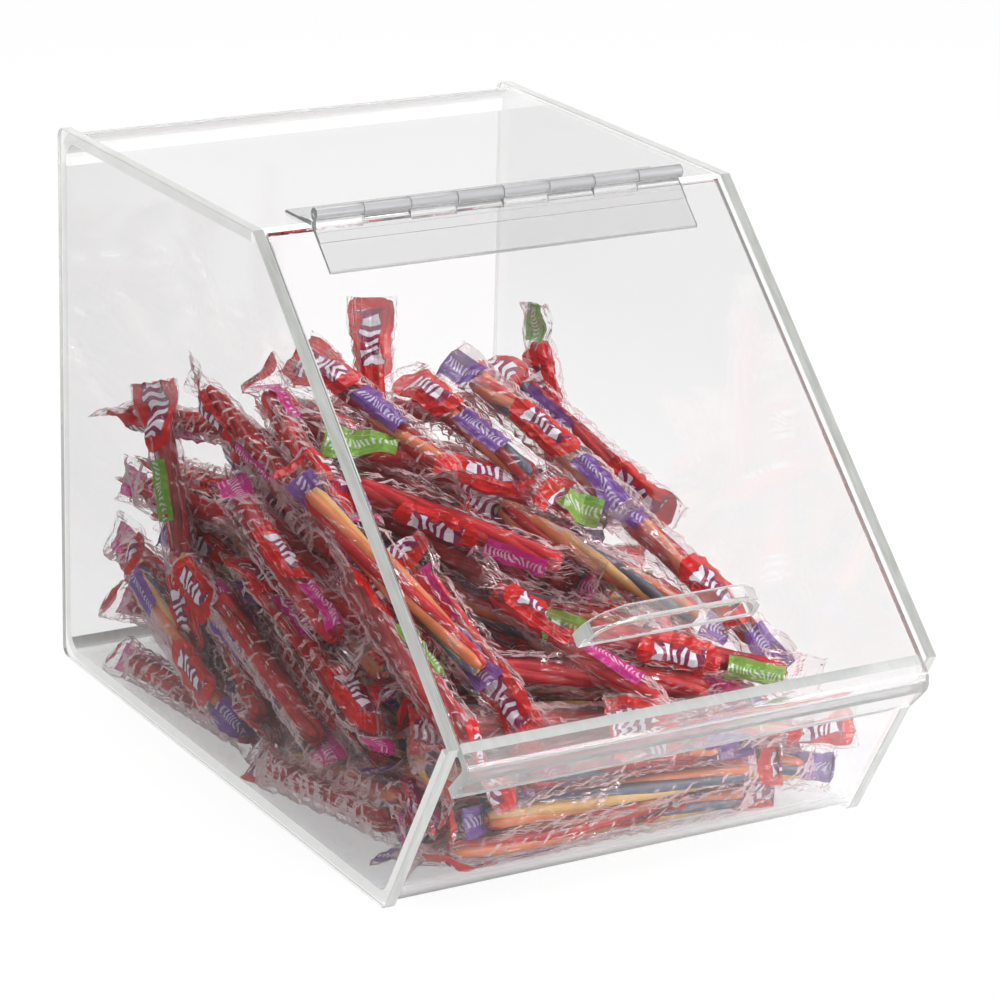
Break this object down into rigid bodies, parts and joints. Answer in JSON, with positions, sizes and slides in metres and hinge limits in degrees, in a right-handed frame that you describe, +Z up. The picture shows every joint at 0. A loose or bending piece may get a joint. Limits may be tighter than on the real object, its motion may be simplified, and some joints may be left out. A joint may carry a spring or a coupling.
{
  "type": "candy bin",
  "caption": "Clear acrylic countertop candy bin with a sloping hinged lid, a lid handle and a heap of wrapped candy twists inside.",
  "frame": {"origin": "on the table, under the middle of the whole bin's box", "axes": "+Z up, +Y towards the back of the bin, -Y towards the lid's lip, +X to the right as seen from the front"},
  "size_m": [0.265, 0.4262, 0.2983],
  "materials": {
    "acrylic": "gloss",
    "hinge_plastic": "gloss",
    "candy": "satin",
    "wrapper_film": "gloss",
    "wrapper_print": "gloss"
  },
  "bodies": {
    "bin": {"side_panel_left": "acrylic", "side_panel_right": "acrylic", "body_wrap": "acrylic", "hinge_leaf_top": "hinge_plastic", "hinge_pin": "hinge_plastic", "candy_fill": "candy", "standing_twist_left": "candy", "standing_twist_right": "candy"},
    "lid": {"lid": "acrylic", "handle": "acrylic", "hinge_leaf_lid": "hinge_plastic"}
  },
  "joints": [
    {"name": "lid_hinge", "type": "hinge", "parent": "bin", "child": "lid", "pos_m": [0, -0.01389, 0.295], "axis": [-1, 0, 0], "range_deg": [0, 225]}
  ]
}
